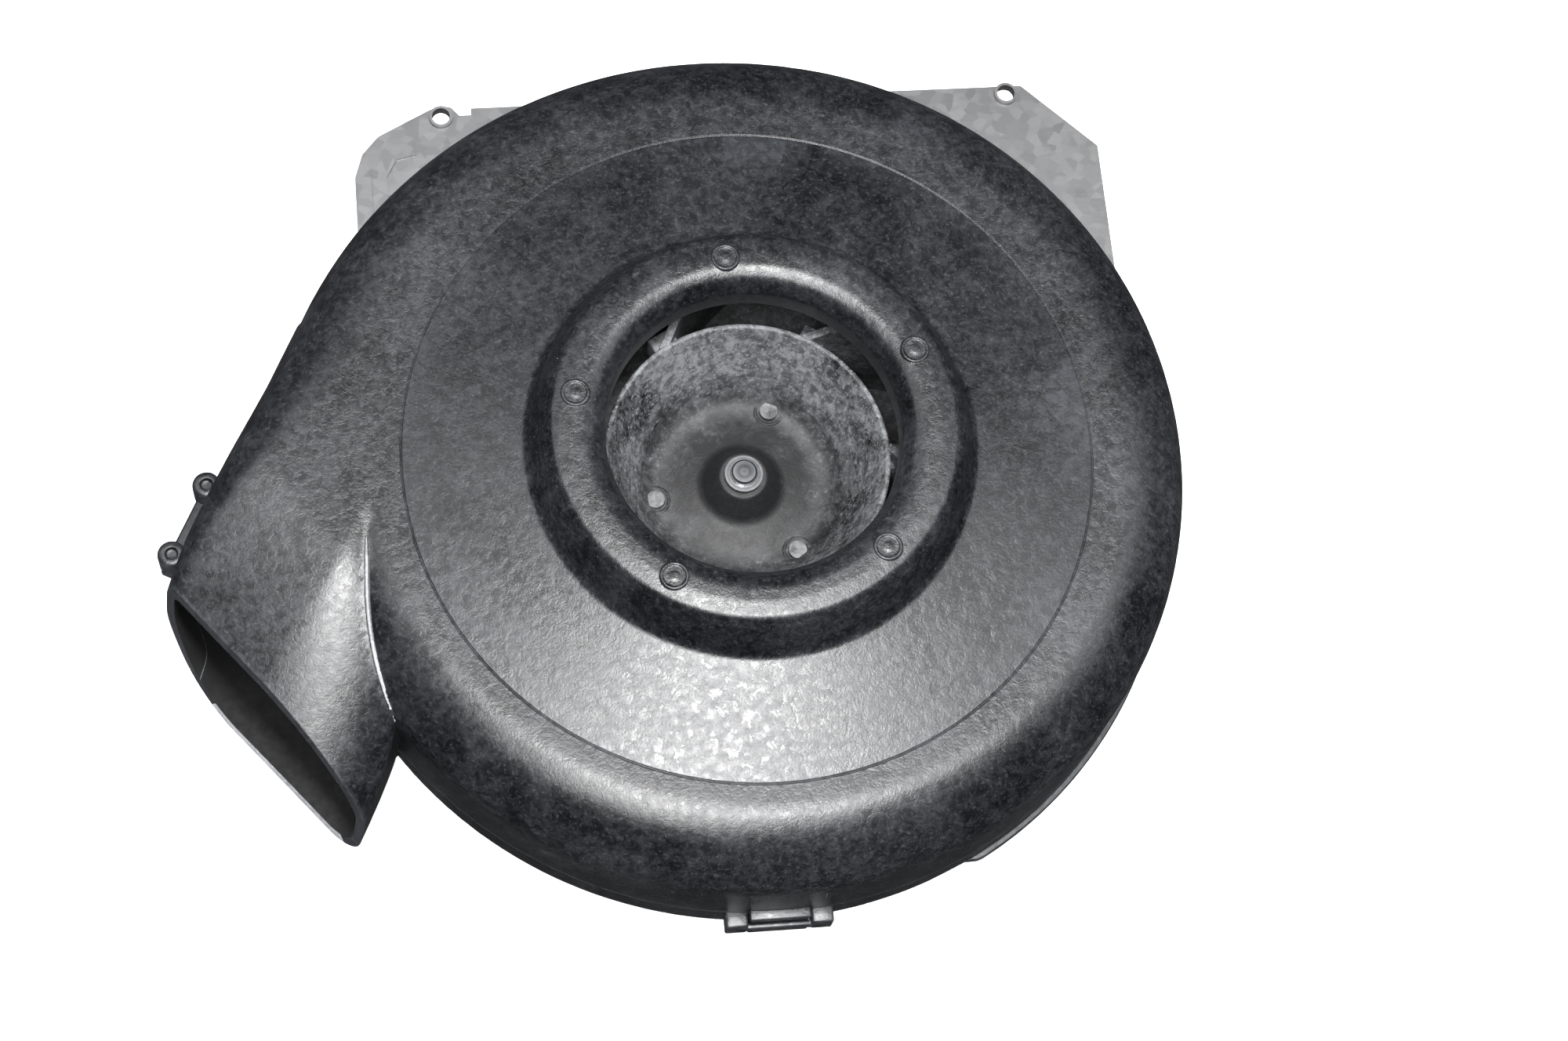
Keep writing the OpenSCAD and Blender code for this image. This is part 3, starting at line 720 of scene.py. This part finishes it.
def impeller(material):
    shape = Shape()
    shape.lathe(rounded([
        (4.62, BACK_TOP, 0), (6.6, BACK_TOP, 0), (6.6, DISH_Z, 1), (18, DISH_Z - 1.8, 3),
        (22, DISH_Z - 0.8, 3), (31.2, RIM_Z - 1.4, 0.5), (31.3, RIM_Z, 0.5), (30.2, RIM_Z, 0.5),
        (21.2, DISH_Z + 0.6, 4.5),
        (17, DISH_Z, 9), (9, DISH_Z + 1.6, 3), (5.3, DISH_Z + 7.8, 0.8), (3.08, DISH_Z + 7.8, 0),
        (3.08, DISH_Z + 6.9, 0), (4.62, DISH_Z + 6.9, 0),
    ], 8), 160)
    shape.lathe(rounded([
        (72, 89.3, 0.3), (71.9, 90.3, 0.3), (39.4, 94.5, 3), (36.2, 98, 1.5), (36.2, 99.9, 0.4),
        (34.4, 99.9, 0.4), (34.4, 97, 1.5), (35.4, 93.6, 1), (38.4, 91.6, 1.5), (72, 88.5, 0.2),
    ], 5), 160)
    for k in range(BLADES):
        blade(shape, math.radians(60 * k + BLADE_TURN))
        tab = Matrix.Rotation(math.radians(60 * k + TAB_TURN), 4, "Z")
        shape.block((30.4, -2.9, RIM_Z - 10), (35.3, 2.9, RIM_Z - 3), tab, 0.4)
    for k in range(RIVETS):
        a = math.radians(RIVET_TURN + 120 * k)
        place = Matrix.Translation((RIVET_CIRCLE * math.cos(a), RIVET_CIRCLE * math.sin(a), DISH_Z + 0.45))
        shape.lathe(rounded([
            (2.02, -9, 0), (3.3, -9, 0), (3.3, 0, 0.3), (2.9, 0.1, 0.2), (2.6, -0.25, 0.1), (2.1, -0.25, 0),
            (2.02, -0.6, 0),
        ], 3), 40, True, place)
    piece = tidy_mesh(bmesh_of(shape), "impeller_moulding")
    return settle(piece, "rotor", "impeller_plastic", material, "impeller_front")


def blade(shape, turn):
    """One backward-curved blade from the dish's rim to the outer edge."""
    arc_x, arc_r, half = 50, 74, 0.9

    def at(radius):
        return math.acos((radius**2 - arc_x**2 - arc_r**2) / (2 * arc_x * arc_r))

    radii = [30.9, 31.2, 32, 33, 34, 35] + list(np.linspace(37, 71.5, 14))
    rows = []
    for r in radii:
        phi = at(r)
        top = 88 + (r - 30.8) * (93.8 - 88) / (34.9 - 30.8) if r < 34.9 else shroud_under(r) + 0.3
        ring = []
        for side in (-1, 1):
            rr = arc_r + side * half
            x, y = arc_x + rr * math.cos(phi), rr * math.sin(phi)
            ring.append((x, y, BACK_TOP))
            ring.append((x, y, top))
        rows.append(ring)
    points = [p for ring in rows for p in ring]
    faces = []
    for i in range(len(rows) - 1):
        a, b = 4 * i, 4 * (i + 1)
        for m, n in ((0, 1), (1, 3), (3, 2), (2, 0)):
            faces.append((a + m, a + n, b + n, b + m))
    faces.append((0, 1, 3, 2))
    last = 4 * (len(rows) - 1)
    faces.append((last, last + 1, last + 3, last + 2))
    shape.add(points, faces, Matrix.Rotation(turn, 4, "Z"))


# ---------------------------------------------------------------- materials


class Nodes:
    """A short way to write a node material."""

    def __init__(self, name):
        self.material = bpy.data.materials.new(name)
        self.material.use_nodes = True
        self.tree = self.material.node_tree
        self.shader = self.tree.nodes["Principled BSDF"]
        self.place = self.tree.nodes.new("ShaderNodeTexCoord").outputs["Object"]

    def new(self, kind, inputs=None, **settings):
        node = self.tree.nodes.new(kind)
        for key, value in settings.items():
            setattr(node, key, value)
        for key, value in (inputs or {}).items():
            self.put(node.inputs[key], value)
        return node

    def put(self, socket, value):
        if isinstance(value, bpy.types.NodeSocket):
            self.tree.links.new(value, socket)
        else:
            socket.default_value = value

    def set(self, **inputs):
        for key, value in inputs.items():
            self.put(self.shader.inputs[key.replace("_", " ")], value)

    def noise(self, size, detail=4.0, rough=0.55, twist=0.0, place=None):
        """Noise whose features are about size millimetres across, 0 to 1."""
        return self.new("ShaderNodeTexNoise", {
            "Vector": place or self.place, "Scale": 1 / (size * MM), "Detail": detail,
            "Roughness": rough, "Distortion": twist,
        }).outputs["Fac"]

    def span(self, value, low, high, to_low=0.0, to_high=1.0):
        return self.new("ShaderNodeMapRange", {
            "Value": value, "From Min": low, "From Max": high, "To Min": to_low, "To Max": to_high,
        }).outputs["Result"]

    def sum(self, a, b, operation="ADD"):
        return self.new("ShaderNodeMath", {0: a, 1: b}, operation=operation).outputs[0]

    def blend(self, amount, one, two):
        node = self.new("ShaderNodeMix", data_type="RGBA")
        self.put(node.inputs["Factor"], amount)
        for socket, value in ((node.inputs[6], one), (node.inputs[7], two)):
            self.put(socket, value if isinstance(value, bpy.types.NodeSocket) else (*value, 1))
        return node.outputs[2]

    def bump(self, height, depth, strength=1.0, under=None):
        """A bump whose full height is depth millimetres."""
        inputs = {"Height": height, "Distance": depth * MM, "Strength": strength}
        if under is not None:
            inputs["Normal"] = under
        return self.new("ShaderNodeBump", inputs).outputs["Normal"]

    def edges(self, low=0.52, high=0.6):
        """1 on worn convex edges, 0 elsewhere."""
        return self.span(self.new("ShaderNodeNewGeometry").outputs["Pointiness"], low, high)


def moulded_plastic(name, dark, light, rough, darkening_and_light=None, wear=0.4):
    """Glass-filled black plastic: flow swirls, fine speckle and a slightly uneven skin."""
    m = Nodes(name)
    swirl = m.span(m.noise(17, 5, 0.6, 0.5), 0.38, 0.7)
    cloud = m.span(m.noise(2.2, 6, 0.72, 0.5), 0.42, 0.64)
    speckle = m.span(m.noise(0.8, 2, 0.6), 0.56, 0.7)
    patches = m.sum(m.sum(swirl, 0.28, "MULTIPLY"), m.sum(cloud, m.span(swirl, 0, 1, 0.3, 0.6), "MULTIPLY"))
    marks = m.sum(patches, m.sum(speckle, 0.5, "MULTIPLY"))
    worn = m.sum(m.edges(0.515, 0.56), wear, "MULTIPLY")
    tone = m.sum(marks, worn)
    # An optional tone factor; for the impeller it paints light and shade into the dish.
    if darkening_and_light is not None:
        tone = m.sum(tone, darkening_and_light(m), "MULTIPLY")
    m.set(
        Base_Color=m.blend(tone, dark, light),
        Roughness=m.span(marks, 0.0, 1.1, rough, rough + 0.14),
    )
    corner = m.new("ShaderNodeBevel", {"Radius": 0.35 * MM}, samples=4).outputs["Normal"]
    skin = m.bump(m.noise(5, 3, 0.5), 0.025, 0.6, corner)
    flakes = m.bump(cloud, 0.03, 0.8, skin)
    m.set(Normal=m.bump(m.noise(0.6, 3, 0.6), 0.045, 0.9, flakes))
    return m.material


def dish_darkening_and_wall_light(m):
    """Darker towards the shaft with an uneven edge, 0 where darkest, times painted light and shade by height:
    the dish's floor darker, its wall lighter.
    """
    flat = m.new("ShaderNodeVectorMath", {0: m.place, 1: (1, 1, 0)}, operation="MULTIPLY").outputs[0]
    away = m.new("ShaderNodeVectorMath", {0: flat}, operation="LENGTH").outputs["Value"]
    ragged = m.sum(away, m.span(m.noise(5, 3, 0.6), 0.3, 0.7, -0.006, 0.006))
    height = m.new("ShaderNodeSeparateXYZ", {"Vector": m.place}).outputs[2]
    # Painted light and shade: the dish's floor is darkened and its wall lightened to stand in for how light
    # falls in the dish.
    wall = m.span(height, (DISH_Z + 1) * MM, (DISH_Z + 8) * MM, 0.55, 1.5)
    return m.sum(m.span(ragged, 0.0115, 0.024, 0.02, 1.0), wall, "MULTIPLY")


def plain_finish(name, dark, light, rough, metallic=0.0, size=4.0, grain=0.5, depth=0.02):
    """A finish with mottled colour, uneven gloss and a fine grain; sizes in millimetres."""
    m = Nodes(name)
    patch = m.span(m.noise(size, 5, 0.6, 0.4), 0.35, 0.68)
    worn = m.sum(m.edges(), 0.35, "MULTIPLY")
    m.set(
        Base_Color=m.blend(m.sum(patch, worn), dark, light),
        Roughness=m.span(m.noise(size * 0.6, 4, 0.6), 0.3, 0.7, rough - 0.07, rough + 0.09),
        Metallic=metallic,
        Normal=m.bump(m.noise(grain, 3, 0.6), depth, 0.7),
    )
    return m.material


def galvanised(name):
    """Zinc-coated sheet with flat crystals and light scratches."""
    m = Nodes(name)
    crystal = m.new("ShaderNodeTexVoronoi", {"Vector": m.place, "Scale": 1 / (2.6 * MM)}, feature="F1")
    tone = m.span(crystal.outputs["Color"], 0, 1, 0.15, 0.55)
    scratch = m.new("ShaderNodeMapping", {"Vector": m.place, "Scale": (1, 14, 1), "Rotation": (0, 0, 0.5)})
    lines = m.span(m.noise(9, 5, 0.7, place=scratch.outputs["Vector"]), 0.55, 0.75)
    scratched = m.sum(tone, m.sum(lines, 0.3, "MULTIPLY"))
    m.set(
        Base_Color=m.blend(scratched, (0.19, 0.192, 0.194), (0.28, 0.283, 0.286)),
        Roughness=m.span(crystal.outputs["Color"], 0, 1, 0.4, 0.48),
        Metallic=0.85,
        Normal=m.bump(m.noise(1.1, 3, 0.6), 0.02, 0.6),
    )
    return m.material


def turned_metal(name, dark, light, rough):
    """Metal with fine turning lines round the shaft axis."""
    m = Nodes(name)
    parts = m.new("ShaderNodeSeparateXYZ", {"Vector": m.place}).outputs
    x_part, y_part = (m.sum(parts[i], parts[i], "MULTIPLY") for i in (0, 1))
    radius = m.sum(m.sum(x_part, y_part), 0.5, "POWER")
    across = m.new("ShaderNodeCombineXYZ", {"X": radius, "Y": parts[2], "Z": 0.0}).outputs[0]
    lines = m.noise(0.35, 2, 0.5, place=across)
    patch = m.span(m.noise(5, 4, 0.6), 0.35, 0.7)
    m.set(
        Base_Color=m.blend(patch, dark, light),
        Roughness=m.span(lines, 0.3, 0.7, rough - 0.05, rough + 0.1),
        Metallic=0.95,
        Normal=m.bump(lines, 0.012, 0.6),
    )
    return m.material


def laminated(name):
    """Stacked steel sheets 0.5 mm thick."""
    m = Nodes(name)
    height = m.new("ShaderNodeSeparateXYZ", {"Vector": m.place}).outputs[2]
    layer = m.sum(m.sum(height, 2 * math.pi / (0.5 * MM), "MULTIPLY"), 0.0, "SINE")
    rust = m.span(m.noise(3, 5, 0.65), 0.5, 0.75)
    m.set(
        Base_Color=m.blend(rust, (0.22, 0.22, 0.23), (0.34, 0.31, 0.29)),
        Roughness=m.span(m.noise(1.5), 0.3, 0.7, 0.42, 0.6),
        Metallic=0.8,
        Normal=m.bump(layer, 0.05, 0.8),
    )
    return m.material


def wound_wire(name):
    """Enamelled copper wire of 0.5 mm laid in turns."""
    m = Nodes(name)
    wave = m.new(
        "ShaderNodeTexWave", {"Vector": m.place, "Scale": 1 / (3.2 * MM), "Distortion": 0.6, "Detail": 1.0},
        wave_type="BANDS", bands_direction="Z",
    ).outputs["Fac"]
    m.set(
        Base_Color=m.blend(wave, (0.24, 0.08, 0.03), (0.62, 0.27, 0.1)),
        Roughness=m.span(m.noise(2), 0.3, 0.7, 0.25, 0.4),
        Metallic=0.7,
        Normal=m.bump(wave, 0.25, 1.0),
    )
    m.material.node_tree.nodes["Principled BSDF"].inputs["Coat Weight"].default_value = 0.4
    return m.material


def board_material(name):
    m = Nodes(name)
    grid = {"Vector": m.place, "Scale": 1 / (4 * MM)}
    cell = m.new("ShaderNodeTexVoronoi", grid, feature="DISTANCE_TO_EDGE")
    track = m.span(cell.outputs["Distance"], 0.03, 0.06, 1.0, 0.0)
    m.set(
        Base_Color=m.blend(track, (0.015, 0.12, 0.05), (0.04, 0.24, 0.1)),
        Roughness=m.span(m.noise(3), 0.3, 0.7, 0.28, 0.42),
        Normal=m.bump(track, 0.04, 0.8),
    )
    return m.material


def dress(node, material, bevel=0.0):
    """Gives a CAD node its material and, where asked, softened edges."""
    piece = NODES[node]
    piece.data.materials.clear()
    piece.data.materials.append(material)
    if bevel:
        soft = piece.modifiers.new("soft_edges", "BEVEL")
        soft.width = bevel * MM
        soft.segments = 3
        soft.limit_method = "ANGLE"
        soft.angle_limit = math.radians(40)
        soft.harden_normals = False


# ---------------------------------------------------------------- stage


def make_camera():
    azimuth, elevation, roll = (math.radians(v) for v in (-20.5, 69.44, 15.98))
    back = Vector((
        math.sin(azimuth) * math.cos(elevation), -math.cos(azimuth) * math.cos(elevation), math.sin(elevation)
    ))
    level = Vector((math.cos(azimuth), math.sin(azimuth), 0))
    over = back.cross(level)
    right = level * math.cos(roll) + over * math.sin(roll)
    up = back.cross(right)
    data = bpy.data.cameras.new("camera")
    data.lens = 72
    data.sensor_width = 36
    data.clip_start = 0.05
    data.clip_end = 20
    camera = bpy.data.objects.new("camera", data)
    bpy.context.scene.collection.objects.link(camera)
    place = Matrix((right, up, back)).transposed().to_4x4()
    place.translation = Vector((0, 0, TOP_Z * MM)) + back * 0.6759 + right * 0.0073 - up * 0.0157
    camera.matrix_world = place
    bpy.context.scene.camera = camera


def area_light(name, place, aim, size, power, colour=(1, 1, 1)):
    data = bpy.data.lights.new(name, "AREA")
    data.shape = "RECTANGLE"
    data.size, data.size_y = size
    data.energy = power
    data.color = colour
    light = bpy.data.objects.new(name, data)
    bpy.context.scene.collection.objects.link(light)
    light.location = place
    light.rotation_mode = "QUATERNION"
    light.rotation_quaternion = (Vector(aim) - Vector(place)).to_track_quat("-Z", "Y")
    return light


def make_stage():
    mesh = bpy.data.meshes.new("floor")
    mesh.from_pydata([(-6, -6, 0), (6, -6, 0), (6, 6, 0), (-6, 6, 0)], [], [(0, 1, 2, 3)])
    floor = bpy.data.objects.new("floor", mesh)
    bpy.context.scene.collection.objects.link(floor)
    m = Nodes("floor_white")
    m.set(Base_Color=(0.93, 0.93, 0.93, 1), Roughness=0.85)
    mesh.materials.append(m.material)
    world = bpy.data.worlds.new("studio")
    bpy.context.scene.world = world
    world.use_nodes = True
    tree = world.node_tree
    place = tree.nodes.new("ShaderNodeTexCoord").outputs["Generated"]
    parts = tree.nodes.new("ShaderNodeSeparateXYZ")
    tree.links.new(place, parts.inputs[0])
    ramp = tree.nodes.new("ShaderNodeValToRGB")
    tree.links.new(parts.outputs[2], ramp.inputs[0])
    ramp.color_ramp.elements[0].position = 0.0
    ramp.color_ramp.elements[0].color = (0.06, 0.06, 0.065, 1)
    ramp.color_ramp.elements[1].position = 0.8
    ramp.color_ramp.elements[1].color = (0.05, 0.053, 0.057, 1)
    band = ramp.color_ramp.elements.new(0.3)
    band.color = (0.07, 0.073, 0.077, 1)
    tree.links.new(ramp.outputs[0], tree.nodes["Background"].inputs["Color"])
    tree.nodes["Background"].inputs["Strength"].default_value = 1.0
    floor.visible_glossy = False
    area_light("key", (0.045, -0.085, 1.3), (0, 0, 0.09), (0.2, 0.2), 25)
    area_light("near_key", (-0.18, -0.44, 1.25), (-0.05, -0.06, 0.09), (0.26, 0.26), 11)
    for name, turn in (("left_soft", 147), ("right_soft", 7)):
        way = Vector((math.cos(math.radians(turn)), math.sin(math.radians(turn)), 0))
        area_light(name, way * 0.72 + Vector((0, 0, 1.15)), (0, 0, 0.09), (0.5, 0.5), 3.5)
    fill = area_light("floor_fill", (0, 0, 2.5), (0, 0, 0), (4, 4), 160)
    stage_only = bpy.data.collections.new("stage_only")
    stage_only.objects.link(floor)
    fill.light_linking.receiver_collection = stage_only
    fill.light_linking.blocker_collection = stage_only
    bpy.context.scene.view_settings.view_transform = "Standard"


make_camera()
make_stage()

casing = moulded_plastic("casing_plastic", (0.002, 0.0024, 0.003), (0.036, 0.039, 0.044), 0.3)
# Near-black, rough plastic on the inner skins: painted shade inside the casing and duct.
painted_shade_inside = plain_finish("casing_inside_painted_shade", (0.0012, 0.0012, 0.0012), (0.003, 0.003, 0.003), 0.85, 0, 4, 0.4, 0.02)
# Light grey plastic on the lower lip and the crease bead: a painted highlight along both edges.
painted_highlight_casing = moulded_plastic("casing_painted_highlight", (0.1, 0.103, 0.108), (0.45, 0.46, 0.48), 0.3)
rivet = plain_finish("rivet_steel", (0.09, 0.093, 0.096), (0.19, 0.19, 0.195), 0.34, 0.9, 3, 0.4, 0.01)
# The impeller's tone factor paints light and shade into its dish: floor darker, wall lighter.
hub = moulded_plastic("impeller_plastic", (0.005, 0.0053, 0.006), (0.2, 0.208, 0.218), 0.55, dish_darkening_and_wall_light, 0.1)
rubber = plain_finish("seal_rubber", (0.012, 0.012, 0.012), (0.03, 0.03, 0.03), 0.72, 0, 2, 0.3, 0.03)
zinc = galvanised("galvanised_steel")
bright = turned_metal("bright_steel", (0.13, 0.137, 0.143), (0.24, 0.24, 0.247), 0.26)
polished = turned_metal("bearing_steel", (0.62, 0.62, 0.64), (0.75, 0.75, 0.77), 0.16)
brass = turned_metal("brass", (0.22, 0.17, 0.09), (0.4, 0.31, 0.16), 0.32)
motor = plain_finish("motor_metal", (0.36, 0.37, 0.39), (0.52, 0.53, 0.55), 0.4, 0.8, 6, 0.5, 0.03)
lamination = laminated("lamination_steel")
nylon = plain_finish("nylon", (0.68, 0.65, 0.56), (0.82, 0.79, 0.7), 0.5, 0, 5, 0.4, 0.02)
wire = wound_wire("copper_wire")
ferrite = plain_finish("ferrite", (0.05, 0.05, 0.055), (0.12, 0.12, 0.125), 0.55, 0.3, 2, 0.3, 0.03)
board = board_material("board")
chip = plain_finish("chip_plastic", (0.014, 0.014, 0.014), (0.04, 0.04, 0.04), 0.5, 0, 1.5, 0.2, 0.01)
can = plain_finish("capacitor_can", (0.03, 0.045, 0.14), (0.06, 0.08, 0.2), 0.35, 0, 2, 0.4, 0.01)

LOOKS = {
    "casing_plastic": casing, "impeller_plastic": hub, "seal_rubber": rubber, "galvanised_steel": zinc,
    "bright_steel": bright, "bearing_steel": polished, "brass": brass, "motor_metal": motor,
    "lamination_steel": lamination, "nylon": nylon, "copper_wire": wire, "ferrite": ferrite,
    "board": board, "chip_plastic": chip, "capacitor_can": can,
}
BEVELS = {
    "mounting_plate": 0.35, "motor_housing": 0.4, "motor_end_cap": 0.4, "connector_socket": 0.3,
    "retaining_ring": 0.15, "casing_screws": 0.25, "motor_screws": 0.2, "end_cap_screws": 0.2,
    "windings": 0.8, "impeller_rivets": 0.9,
}
for part in frame["record"]["subparts"]:
    finish = rivet if part["node"] == "impeller_rivets" else LOOKS[part["material_slot"]]
    dress(part["node"], finish, BEVELS.get(part["node"], 0.0))

skin = casing_skin()
shell_looks = (casing, painted_shade_inside, painted_highlight_casing)
upper_casing(skin, shell_looks)
lower_casing(skin, shell_looks)
impeller(hub)
